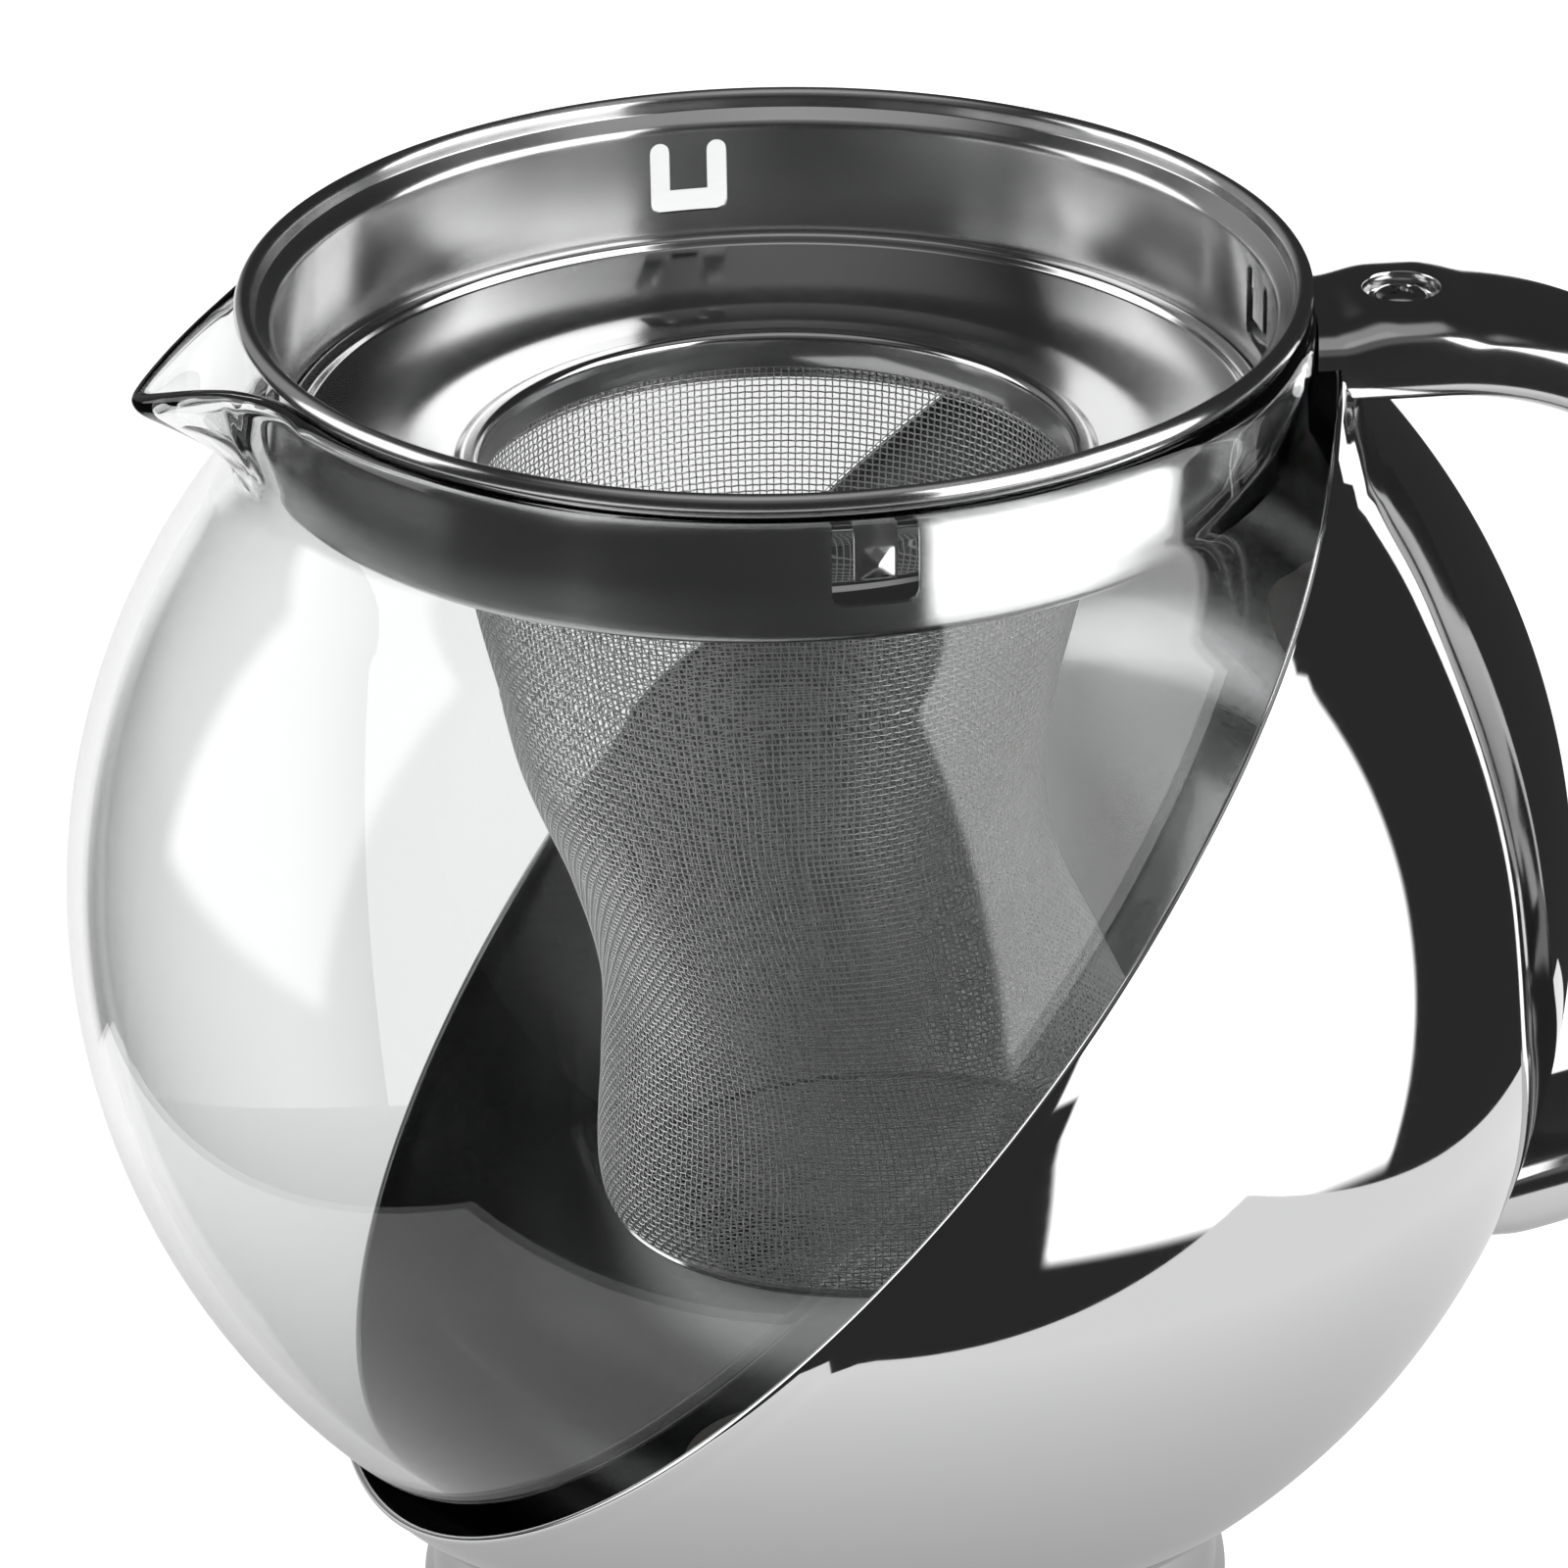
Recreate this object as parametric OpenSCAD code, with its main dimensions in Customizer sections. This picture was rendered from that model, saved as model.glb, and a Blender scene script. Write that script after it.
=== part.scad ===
// Glass and steel infuser teapot: a round glass jug in a cut steel shell, with a lift-out wire-cloth infuser.
// Millimetres. +Z is up, the foot stands on Z = 0, +X points to the handle and -X to the pouring lip.

/* [Shell] */
// Outer radius of the round steel shell
shell_r = 69.5; // [68:0.1:71]
// Height of the shell's centre above the table
shell_h = 75; // [74:0.5:80]
// Thickness of the shell's sheet
shell_t = 0.6; // [0.5:0.1:1]
// Lean of the slanted cut, from the vertical through +Z towards the lip
cut_lean = 48.5; // [46:0.5:50]
// How far the cut lies beyond the shell's centre
cut_offset = 0.6; // [0:0.1:1.5]
// Outer radius of the short neck wall at the top of the shell
tab_r = 47.2; // [47:0.1:47.4]
// Height of the neck wall's top above the shell's centre
tab_top = 53.2; // [52.5:0.1:53.4]

/* [Foot] */
// Radius of the foot where it meets the shell
foot_top_r = 37; // [34:0.5:40]
// Radius of the foot on the table
foot_base_r = 38.5; // [36:0.5:42]
// Thickness of the foot's sheet
foot_t = 0.8; // [0.6:0.1:1.5]
// Radius of the rolled edge that stands on the table
foot_bead_r = 1.2; // [1:0.1:2]

/* [Glass jug] */
// Outer radius of the glass ball
glass_r = 65.8; // [65:0.1:66.5]
// Thickness of the glass
glass_t = 2; // [1.8:0.1:2.4]
// How far the jug's axis stands from the shell's axis, towards the lip
glass_x = -2.9; // [-3:0.1:-2.5]
// How far the ball's centre stands above the shell's centre
glass_z = 0.8; // [0.5:0.1:1.2]
// Inner radius of the glass neck
neck_r = 45.6; // [45.4:0.1:45.8]
// Height of the glass mouth above the shell's centre
mouth_h = 59.1; // [58.8:0.1:59.1]
// How far the lip's tip stands from the jug's axis
lip_reach = 57.2; // [54:0.1:58]
// Height of the lip's tip above the shell's centre
lip_tip_h = 52.5; // [51:0.1:54]
// Half of the angle that the lip takes from the neck
lip_half_angle = 29; // [24:1:32]

/* [Infuser] */
// Outer radius of the infuser's wall
wall_r = 44.6; // [44.2:0.1:44.7]
// Thickness of the infuser's sheet
sheet_t = 0.5; // [0.4:0.05:0.6]
// Radius of the rolled rim's section
rim_roll_r = 1.05; // [0.9:0.05:1.1]
// Outer radius of the rolled rim
rim_r = 47.5; // [47.2:0.1:47.6]
// Height of the rolled rim's top above the shell's centre
rim_top = 61.3; // [61.3:0.1:62]
// Height of the wall's bottom above the shell's centre
wall_bottom = 46.7; // [46.5:0.1:47]
// Radius of the throat's raised edge
throat_r = 27.9; // [27:0.1:28.5]
// Height of the throat's raised edge above the shell's centre
throat_top = 44.7; // [44.5:0.1:45]
// Inner radius of the throat's collar, which the wire-cloth sleeve is clamped around
collar_in_r = 26.35; // [26:0.05:26.5]
// Thickness of the woven wire cloth
cloth_t = 0.5; // [0.4:0.05:0.6]

/* [Spring tongues] */
// Turn of the four tongues from the lip and handle line
tongue_turn = 5; // [0:1:10]
// Width of a tongue
tongue_w = 3.4; // [3:0.1:4]
// Height of a tongue
tongue_h = 4.8; // [4.5:0.1:5]
// Full width of the slot around a tongue
slot_w = 7.3; // [7:0.1:7.6]
// Height of the slot's bottom above the shell's centre
slot_bottom = 50.2; // [50:0.1:50.6]
// Height of the slot's top above the shell's centre
slot_top = 57.3; // [57:0.1:57.5]
// How far the pressed dimple stands out of a tongue
dimple_h = 0.75; // [0.5:0.05:0.8]

/* [Handle] */
// Height of the handle's section
grip_h = 7.8; // [7.6:0.1:8.2]
// Width of the handle's section
grip_w = 18; // [17:0.5:19]
// Thickness of the handle's wall
grip_t = 1.2; // [1:0.1:1.3]
// Height of the upper arm's centre above the shell's centre
arm_z = 52.6; // [52.4:0.1:52.8]
// Where the upper arm starts to bend, from the shell's axis
arm_x = 56; // [56:0.5:57]
// Where the upper screw stands, from the shell's axis
screw_x = 53.2; // [53:0.1:53.5]
// Radius of a screw's shank
screw_r = 1.5; // [1.4:0.05:1.6]
// Radius of a screw's head
screw_head_r = 2.5; // [2.4:0.05:2.7]

/* [Hidden] */
$fn = 96;

gap = 0.05;                    // running gap between fitted pieces
foot_flat = 0.15;              // depth of the flat worn on the foot's rolled edge
big = 300;                     // longer than the whole teapot
shell_in_r = shell_r - shell_t;
glass_in_r = glass_r - glass_t;
neck_out_r = neck_r + glass_t;
rim_h = rim_top - rim_roll_r;  // height of the rolled rim's centre
rim_c = rim_r - rim_roll_r;    // radius of the rolled rim's centre
throat_drop = 3.4;             // from the throat's raised edge to the collar's bottom
collar_r = collar_in_r + sheet_t;
sleeve_top_r = collar_r + gap + cloth_t;

// The handle's path: an arm, a bend, a slant, the grip's long bend, a tight bend and the lower arm.
bend_1_r = 32;
bend_1_turn = 30;
slant = 13.2;
bend_2_r = 48;
bend_2_turn = 70;
bend_3_r = 24;
bend_3_turn = 66;
bend_1 = [arm_x, arm_z - bend_1_r];
slant_start = bend_1 + bend_1_r * [sin(bend_1_turn), cos(bend_1_turn)];
slant_end = slant_start + slant * [cos(bend_1_turn), -sin(bend_1_turn)];
bend_2 = slant_end - bend_2_r * [sin(bend_1_turn), cos(bend_1_turn)];
turn_2 = bend_1_turn + bend_2_turn;
bend_2_end = bend_2 + bend_2_r * [sin(turn_2), cos(turn_2)];
bend_3 = bend_2_end - bend_3_r * [sin(turn_2), cos(turn_2)];
turn_3 = turn_2 + bend_3_turn;
lower_end = bend_3 + bend_3_r * [sin(turn_3), cos(turn_3)];
lower_lean = 180 - turn_3;     // rise of the lower arm, away from the shell
lower_screw_at = 22.4;         // from the end of the last bend, along the lower arm
grip_sides = 24;

// Stations along the path: X, Z and the turn from level, clockwise.
function bend_stations(middle, r, from_turn, to_turn, steps) = [for (i = [0 : steps])
    let (t = from_turn + (to_turn - from_turn) * i / steps) [middle[0] + r * sin(t), middle[1] + r * cos(t), t]];
lower_stop = lower_end + 45 * [cos(turn_3), -sin(turn_3)];
grip_path = [
    [30, arm_z, 0],
    each bend_stations(bend_1, bend_1_r, 0, bend_1_turn, 5),
    each bend_stations(bend_2, bend_2_r, bend_1_turn, turn_2, 9),
    each bend_stations(bend_3, bend_3_r, turn_2 + 8, turn_3, 7),
    [lower_stop[0], lower_stop[1], turn_3]];

// The box runs from the glass ball to the back of the grip, and its middle is the origin.
handle_reach = bend_2[0] + bend_2_r + grip_h / 2;
pot_x = -(handle_reach + glass_x - glass_r) / 2;

// The sleeve's stations: height above the shell's centre, middle, half width along X and along Y.
sleeve_stations = [
    [43, 0, sleeve_top_r, sleeve_top_r],
    [39, 0, sleeve_top_r, sleeve_top_r],
    [30, -0.2, 26.8, 26.6],
    [22, -0.1, 25.3, 26],
    [15, 0.2, 24, 25.5],
    [4, 2.9, 22.6, 25],
    [-7, 6.5, 23.6, 24],
    [-17, 8.5, 25.8, 22.6],
    [-26, 8.9, 26.8, 21.6],
    [-29.2, 8.8, 26.5, 21.3],
    [-30.7, 8.7, 25.9, 20.8],
    [-31.2, 8.7, 25, 20.2]];
sleeve_sides = 48;
sleeve_bottom = sleeve_stations[len(sleeve_stations) - 1];

module at_pot() {
    translate([pot_x, 0, shell_h]) children();
}

module at_jug() {
    translate([pot_x + glass_x, 0, shell_h]) children();
}

// Everything on the handle's side of the slanted cut.
module cut_half() {
    rotate([0, -cut_lean, 0]) translate([-big / 2, -big / 2, cut_offset - big]) cube(big);
}

module shell_outside(extra = 0) {
    sphere(r = shell_r + extra, $fn = 128);
    cylinder(r = tab_r + extra, h = tab_top);
}

module steel_shell() {
    color("silver") at_pot() intersection() {
        difference() {
            shell_outside();
            sphere(r = shell_in_r, $fn = 128);
            translate([0, 0, tab_top / 2]) cylinder(r = tab_r - shell_t, h = tab_top);
        }
        cut_half();
    }
}

module foot_ring() {
    color("silver") at_pot() difference() {
        union() {
            rotate_extrude() polygon([
                [foot_base_r - foot_t, foot_bead_r - shell_h], [foot_base_r, foot_bead_r - shell_h],
                [foot_top_r, -shell_r * 0.8], [foot_top_r - foot_t, -shell_r * 0.8]]);
            translate([0, 0, foot_bead_r - foot_flat - shell_h]) rotate_extrude()
                translate([foot_base_r - foot_t / 2, 0]) circle(r = foot_bead_r, $fn = 32);
        }
        sphere(r = shell_r, $fn = 128);
        translate([0, 0, -shell_h - big]) cylinder(r = foot_base_r + 10, h = big);
    }
}

// A flat-sided oval bar along X, as the lugs are.
module oval_bar(h, w, length) {
    rotate([0, 90, 0]) linear_extrude(length) {
        square([h, w - h], center = true);
        for (side = [-1, 1]) translate([0, side * (w - h) / 2]) circle(d = h, $fn = 48);
    }
}

// One skin of the handle: a flat-sided oval carried along the path, closed at both ends.
function path_ring(p, h, w) = [for (i = [0 : grip_sides - 1])
    let (a = 360 * (i + 0.5) / grip_sides, up = h / 2 * sin(a), side = h / 2 * cos(a) + (w - h) / 2 * sign(cos(a)))
    [p[0] + up * sin(p[2]), side, p[1] + up * cos(p[2])]];

module handle_sweep(h, w) {
    m = grip_sides;
    last = len(grip_path) - 1;
    faces = [
        [for (i = [0 : m - 1]) i],
        for (k = [0 : last - 1], i = [0 : m - 1])
            let (j = (i + 1) % m) [k * m + j, k * m + i, (k + 1) * m + i, (k + 1) * m + j],
        [for (i = [m - 1 : -1 : 0]) last * m + i]];
    polyhedron([for (p = grip_path) each path_ring(p, h, w)], faces);
}

// Along the lower arm towards the shell, from the end of the last bend.
module at_lower_arm() {
    translate([lower_end[0], 0, lower_end[1]]) rotate([0, 180 - lower_lean, 0]) children();
}

lug_h = 4.2;
lug_w = 10;
boss_r = 4.6;
bump_h = 0.9;                  // height of the swelling around a screw, above the handle's skin
bump_r = 6.2;
seat_r = 3.4;                  // radius of the pocket that a screw's head sits in
seat_depth = 0.8;              // from the handle's skin to the pocket's floor
head_h = 1.4;
shank_length = 5.4;
recess_w = 0.6;                // the cross recess in a screw's head
recess_depth = 0.8;

// Frames with the screw's axis up, at the handle's skin.
module at_upper_screw() {
    translate([screw_x, 0, arm_z + grip_h / 2]) children();
}

module at_lower_screw() {
    at_lower_arm() translate([lower_screw_at, 0, grip_h / 2]) children();
}

module handle() {
    skin_h = grip_h - 2 * grip_t;
    skin_w = grip_w - 2 * grip_t;
    boss_h = (grip_h - lug_h) / 2 - gap;
    color("dimgray") at_pot() difference() {
        union() {
            difference() {
                handle_sweep(grip_h, grip_w);
                handle_sweep(skin_h, skin_w);
            }
            at_upper_screw() screw_boss(boss_h);
            at_lower_screw() screw_boss(boss_h);
        }
        at_upper_screw() screw_room();
        at_lower_screw() screw_room();
        shell_outside(gap);
        translate([glass_x, 0, 0]) cylinder(r = neck_out_r + 0.5, h = big);
    }
}

// The boss inside the handle that the screw's head bears on, and the swelling over it.
module screw_boss(depth) {
    translate([0, 0, -depth]) cylinder(r = boss_r, h = depth);
    translate([0, 0, -grip_t / 2]) cylinder(r1 = bump_r, r2 = boss_r, h = grip_t / 2 + bump_h);
}

module screw_room() {
    translate([0, 0, -seat_depth]) cylinder(r = seat_r, h = big);
    translate([0, 0, -grip_h / 2]) cylinder(r = screw_r + gap, h = grip_h);
}

module lug_bore() {
    translate([0, 0, -big / 2]) cylinder(r = screw_r + gap, h = big);
}

module upper_lug() {
    color("gray") at_pot() difference() {
        translate([40, 0, arm_z]) oval_bar(lug_h, lug_w, 20);
        at_upper_screw() lug_bore();
        shell_outside();
        translate([glass_x, 0, 0]) cylinder(r = neck_out_r + 0.5, h = big);
    }
}

module lower_lug() {
    color("gray") at_pot() difference() {
        at_lower_arm() translate([lower_screw_at - 6, 0, 0]) oval_bar(lug_h, lug_w, 25);
        at_lower_screw() lug_bore();
        shell_outside();
    }
}

// A pan-head screw with a cross recess.
module screw() {
    translate([0, 0, -seat_depth - shank_length]) cylinder(r = screw_r, h = shank_length + 0.2);
    head_side = 0.6 * head_h;
    translate([0, 0, -seat_depth]) difference() {
        union() {
            cylinder(r = screw_head_r, h = head_side);
            translate([0, 0, head_side]) cylinder(r1 = screw_head_r, r2 = 0.7 * screw_head_r, h = head_h - head_side);
        }
        for (turn = [45, 135]) rotate([0, 0, turn])
            translate([0, 0, head_h]) cube([1.2 * screw_head_r, recess_w, 2 * recess_depth], center = true);
    }
}

module upper_screw() {
    color("lightgray") at_pot() at_upper_screw() screw();
}

module lower_screw() {
    color("lightgray") at_pot() at_lower_screw() screw();
}

module glass_ball(extra = 0) {
    translate([glass_x, 0, glass_z]) sphere(r = glass_r + extra, $fn = 128);
}

// What lies between the glass ball and the shell.
module pad_room() {
    difference() {
        sphere(r = shell_in_r, $fn = 128);
        glass_ball();
    }
}

base_pad_r = 11;
back_pad_r = 6;
back_pad_turn = 32;            // each side of the handle
back_pad_rise = 8;

module base_pad() {
    color("white") at_pot() intersection() {
        pad_room();
        translate([glass_x, 0, -shell_r]) cylinder(r = base_pad_r, h = shell_r / 2);
    }
}

module back_pads() {
    color("white") at_pot() for (side = [-1, 1]) intersection() {
        pad_room();
        rotate([0, 90 - back_pad_rise, side * back_pad_turn]) translate([0, 0, shell_r / 2])
            cylinder(r = back_pad_r, h = shell_r);
    }
}

lip_outside = 2.2;             // rounding of the lip's corners, outside and inside
lip_inside = 0.5;
lip_slope = 3.5;               // how far the lip's underside rises from the neck to the tip

// The lip's body: a wedge from the neck to the tip, grown or shrunk by the same amount all round.
module lip_wedge(grow, low, high) {
    tip_low = max(low + lip_slope, lip_tip_h - lip_outside / 2 - grow);
    hull() {
        for (side = [-1, 1]) rotate([0, 0, side * lip_half_angle])
            translate([-(neck_r + glass_t / 2), 0, low]) cylinder(r = grow, h = high - low, $fn = 24);
        translate([-(lip_reach - lip_outside), 0, tip_low]) cylinder(r = grow, h = high - tip_low, $fn = 24);
    }
}

// What lies above the lip's slanting edge.
module above_lip() {
    rotate([0, -atan((mouth_h - lip_tip_h) / (lip_reach - neck_r)), 0])
        translate([-big / 2, -big / 2, 0]) cube(big);
}

module glass_jug() {
    lip_low = wall_bottom - 1;
    lip_floor = 2.4;
    bead_r = glass_t / 2;
    color("lightcyan", 0.5) at_jug() difference() {
        union() {
            translate([0, 0, glass_z]) sphere(r = glass_r, $fn = 128);
            cylinder(r = neck_out_r, h = mouth_h - bead_r);
            translate([0, 0, mouth_h - bead_r]) rotate_extrude()
                translate([neck_r + bead_r, 0]) circle(r = bead_r, $fn = 32);
            difference() {
                lip_wedge(lip_outside, lip_low, mouth_h);
                translate([-neck_r, 0, mouth_h]) above_lip();
            }
        }
        translate([0, 0, glass_z]) sphere(r = glass_in_r, $fn = 128);
        cylinder(r = neck_r, h = big / 2);
        lip_wedge(lip_inside, lip_low + lip_floor, 1.1 * mouth_h);
    }
}

slot_r = 0.9;                  // rounding of the slot's lower corners

// The opening that a tongue stands in, along +X.
module tongue_slot() {
    translate([0, -slot_w / 2, slot_bottom + slot_r]) cube([big, slot_w, slot_top - slot_bottom - slot_r]);
    translate([0, -slot_w / 2 + slot_r, slot_bottom]) cube([big, slot_w - 2 * slot_r, 2 * slot_r]);
    for (side = [-1, 1]) translate([0, side * (slot_w / 2 - slot_r), slot_bottom + slot_r])
        rotate([0, 90, 0]) cylinder(r = slot_r, h = big, $fn = 24);
}

module infuser_wall() {
    color("gainsboro") at_jug() difference() {
        union() {
            rotate_extrude() polygon([
                [wall_r - sheet_t, wall_bottom], [wall_r, wall_bottom], [wall_r, rim_h - 0.2], [rim_c, rim_h - 0.2],
                [rim_c, rim_h + sheet_t], [wall_r - sheet_t, rim_h + sheet_t]]);
            translate([0, 0, rim_h]) rotate_extrude() translate([rim_c, 0]) circle(r = rim_roll_r, $fn = 32);
        }
        for (quarter = [0 : 3]) rotate([0, 0, tongue_turn + 90 * quarter]) tongue_slot();
    }
}

// A tongue in the wall's own curve, with its dimple, below a hair's gap that lets it bend at its root.
module spring_tongue(quarter) {
    root_gap = 0.06;
    color("whitesmoke") at_jug() rotate([0, 0, tongue_turn + 90 * quarter]) {
        intersection() {
            difference() {
                cylinder(r = wall_r, h = big);
                translate([0, 0, -1]) cylinder(r = wall_r - sheet_t, h = big + 2);
            }
            translate([0, -tongue_w / 2, slot_top - tongue_h]) cube([big, tongue_w, tongue_h - root_gap]);
        }
        translate([wall_r - 0.08, 0, slot_top - tongue_h + 1.7]) rotate([0, 90, 0]) rotate([0, 0, 45])
            cylinder(r1 = 1.5, r2 = 0.35, h = dimple_h, $fn = 4);
    }
}

module spring_tongue_handle_side() { spring_tongue(0); }
module spring_tongue_back() { spring_tongue(1); }
module spring_tongue_lip_side() { spring_tongue(2); }
module spring_tongue_front() { spring_tongue(3); }

// The drawn floor: a crimped edge under the wall, a shallow fall, and the throat's raised edge and collar.
module funnel_floor() {
    edge_r = wall_r - sheet_t - gap;
    dip_h = throat_top - 0.8;
    color("gainsboro") at_jug() rotate_extrude() polygon([
        [edge_r, wall_bottom], [edge_r, wall_bottom + 1], [edge_r - 0.75, wall_bottom + 1.4],
        [edge_r - 1.45, wall_bottom + 0.75], [edge_r - 2.25, wall_bottom + sheet_t],
        [throat_r + 3.1, dip_h], [throat_r + 1.1, throat_top - 0.25], [throat_r, throat_top],
        [throat_r - 0.9, throat_top - 0.35], [collar_in_r + 0.15, throat_top - 0.9],
        [collar_in_r, throat_top - 1.5], [collar_in_r, throat_top - throat_drop],
        [collar_r, throat_top - throat_drop], [collar_r, throat_top - 1.5], [collar_r + 0.35, throat_top - 0.9],
        [throat_r, throat_top - sheet_t], [throat_r + 1.1, throat_top - 0.25 - sheet_t],
        [throat_r + 3.1, dip_h - sheet_t], [edge_r - 2.25, wall_bottom]]);
}

// The band that clamps the top of the wire cloth to the throat.
module throat_ring() {
    band_r = sleeve_top_r + gap;
    band_h = 3;
    color("silver") at_jug() translate([0, 0, throat_top - throat_drop - band_h / 2]) difference() {
        cylinder(r = band_r + 0.5, h = band_h);
        translate([0, 0, -1]) cylinder(r = band_r, h = band_h + 2);
    }
}

// A ring of points round one station, pulled in by the cloth's thickness for the inner skin.
function station_ring(s, inset, lift) = [for (i = [0 : sleeve_sides - 1])
    let (a = 360 * i / sleeve_sides)
    [s[1] + (s[2] - inset) * cos(a), (s[3] - inset) * sin(a), s[0] + lift]];

module mesh_sleeve() {
    n = len(sleeve_stations);
    outer = [for (s = sleeve_stations) each station_ring(s, 0, 0)];
    inner = [for (s = sleeve_stations) each station_ring(s, cloth_t, 0)];
    m = sleeve_sides;
    function strip(a, b, flip) = [for (i = [0 : m - 1]) let (j = (i + 1) % m)
        flip ? [a + i, a + j, b + j, b + i] : [a + i, b + i, b + j, a + j]];
    faces = [
        for (k = [0 : n - 2]) each strip(k * m, (k + 1) * m, true),
        for (k = [0 : n - 2]) each strip((n + k) * m, (n + k + 1) * m, false),
        each strip(0, n * m, false),
        each strip((n - 1) * m, (2 * n - 1) * m, true)];
    color("darkgray") at_jug() polyhedron(concat(outer, inner), faces);
}

module oval_disc(s, inset, h) {
    linear_extrude(h) polygon([for (p = station_ring(s, inset, 0)) [p[0], p[1]]]);
}

module mesh_bottom() {
    color("darkgray") at_jug() translate([0, 0, sleeve_bottom[0] - gap - cloth_t])
        oval_disc(sleeve_bottom, 0, cloth_t);
}

// The thin pressed band that holds the bottom disc to the sleeve.
module bottom_seam_ring() {
    color("silver") at_jug() translate([0, 0, sleeve_bottom[0] - gap - cloth_t]) difference() {
        oval_disc(sleeve_bottom, -gap - 0.5, cloth_t);
        translate([0, 0, -1]) oval_disc(sleeve_bottom, -gap, 3);
    }
}

steel_shell();
foot_ring();
upper_lug();
lower_lug();
handle();
upper_screw();
lower_screw();
base_pad();
back_pads();
glass_jug();
infuser_wall();
funnel_floor();
throat_ring();
mesh_sleeve();
mesh_bottom();
bottom_seam_ring();
spring_tongue_handle_side();
spring_tongue_back();
spring_tongue_lip_side();
spring_tongue_front();
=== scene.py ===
"""Looks for the infuser teapot: glass jug, cut steel shell, loop handle and a lift-out wire-cloth infuser."""
import math

import bpy
import bmesh
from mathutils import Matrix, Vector, noise


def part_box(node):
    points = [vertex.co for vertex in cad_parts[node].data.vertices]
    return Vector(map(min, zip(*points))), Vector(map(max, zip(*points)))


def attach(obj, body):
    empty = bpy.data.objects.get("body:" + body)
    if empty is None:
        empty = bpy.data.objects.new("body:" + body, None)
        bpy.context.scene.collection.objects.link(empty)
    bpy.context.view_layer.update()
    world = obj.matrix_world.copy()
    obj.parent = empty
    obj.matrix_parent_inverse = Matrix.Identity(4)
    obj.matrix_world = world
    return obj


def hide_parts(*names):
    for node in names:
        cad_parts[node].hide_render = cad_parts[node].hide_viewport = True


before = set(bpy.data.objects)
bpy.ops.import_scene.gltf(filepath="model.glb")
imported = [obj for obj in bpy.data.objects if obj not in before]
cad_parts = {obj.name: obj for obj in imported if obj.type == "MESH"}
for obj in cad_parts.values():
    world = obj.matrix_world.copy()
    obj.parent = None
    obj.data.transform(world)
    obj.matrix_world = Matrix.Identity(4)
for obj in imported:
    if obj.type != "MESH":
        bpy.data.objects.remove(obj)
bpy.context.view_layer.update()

MM = 0.001
TAU = 2 * math.pi
CAP_STEPS = 12         # steps around the bead at the edge of a thick surface

# ---------------------------------------------------------------- places, from the frame

shell_low, shell_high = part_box("steel_shell")
jug_low, jug_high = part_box("glass_jug")
wall_low, wall_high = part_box("infuser_wall")
floor_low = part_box("funnel_floor")[0]
ring_low, ring_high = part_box("throat_ring")
foot_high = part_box("foot_ring")[1]

SHELL_R = (shell_high.y - shell_low.y) / 2
POT = Vector((shell_high.x - SHELL_R, 0, shell_low.z + SHELL_R))
JUG = Vector(((ring_low.x + ring_high.x) / 2, 0, POT.z))
GLASS_R = JUG.x - jug_low.x
BALL_Z = jug_low.z + GLASS_R - POT.z
MOUTH_Z = jug_high.z - POT.z
RIM_R = (wall_high.y - wall_low.y) / 2
RIM_Z = wall_high.z - POT.z
WALL_BOTTOM_Z = wall_low.z - POT.z
COLLAR_BOTTOM_Z = floor_low.z - POT.z


# ---------------------------------------------------------------- mesh helpers

def add_mesh(name, verts, faces, sharp=40):
    """An object with smooth faces and edges kept sharp past the given angle."""
    mesh = bpy.data.meshes.new(name)
    mesh.from_pydata([tuple(v) for v in verts], [], faces)
    mesh.validate()
    tool = bmesh.new()
    tool.from_mesh(mesh)
    bmesh.ops.recalc_face_normals(tool, faces=tool.faces)
    tool.to_mesh(mesh)
    tool.free()
    finish_mesh(mesh, sharp)
    obj = bpy.data.objects.new(name, mesh)
    bpy.context.scene.collection.objects.link(obj)
    return obj


def finish_mesh(mesh, sharp=40):
    mesh.polygons.foreach_set("use_smooth", [True] * len(mesh.polygons))
    mesh.set_sharp_from_angle(angle=math.radians(sharp))
    mesh.update()


def grid_faces(rows, columns, closed_rows=False, closed_columns=True):
    """Quads between rows of points, each row a ring when closed_columns."""
    faces = []
    for i in range(rows if closed_rows else rows - 1):
        a, b = i * columns, (i + 1) % rows * columns
        for j in range(columns if closed_columns else columns - 1):
            k = (j + 1) % columns
            faces.append((a + j, a + k, b + k, b + j))
    return faces


def fillet(corners, steps=6):
    """A path of (r, z) points whose corners are rounded: each corner is (r, z, radius)."""
    path = []
    for i, (x, z, radius) in enumerate(corners):
        here = Vector((x, z))
        if radius <= 0 or i in (0, len(corners) - 1):
            path.append(here)
            continue
        before = (Vector(corners[i - 1][:2]) - here)
        after = (Vector(corners[i + 1][:2]) - here)
        half = before.angle(after) / 2
        reach = min(radius / math.tan(half), 0.49 * before.length, 0.49 * after.length)
        start, end = here + before.normalized() * reach, here + after.normalized() * reach
        for k in range(steps + 1):
            t = k / steps
            path.append((1 - t) ** 2 * start + 2 * t * (1 - t) * here + t * t * end)
    return path


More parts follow.
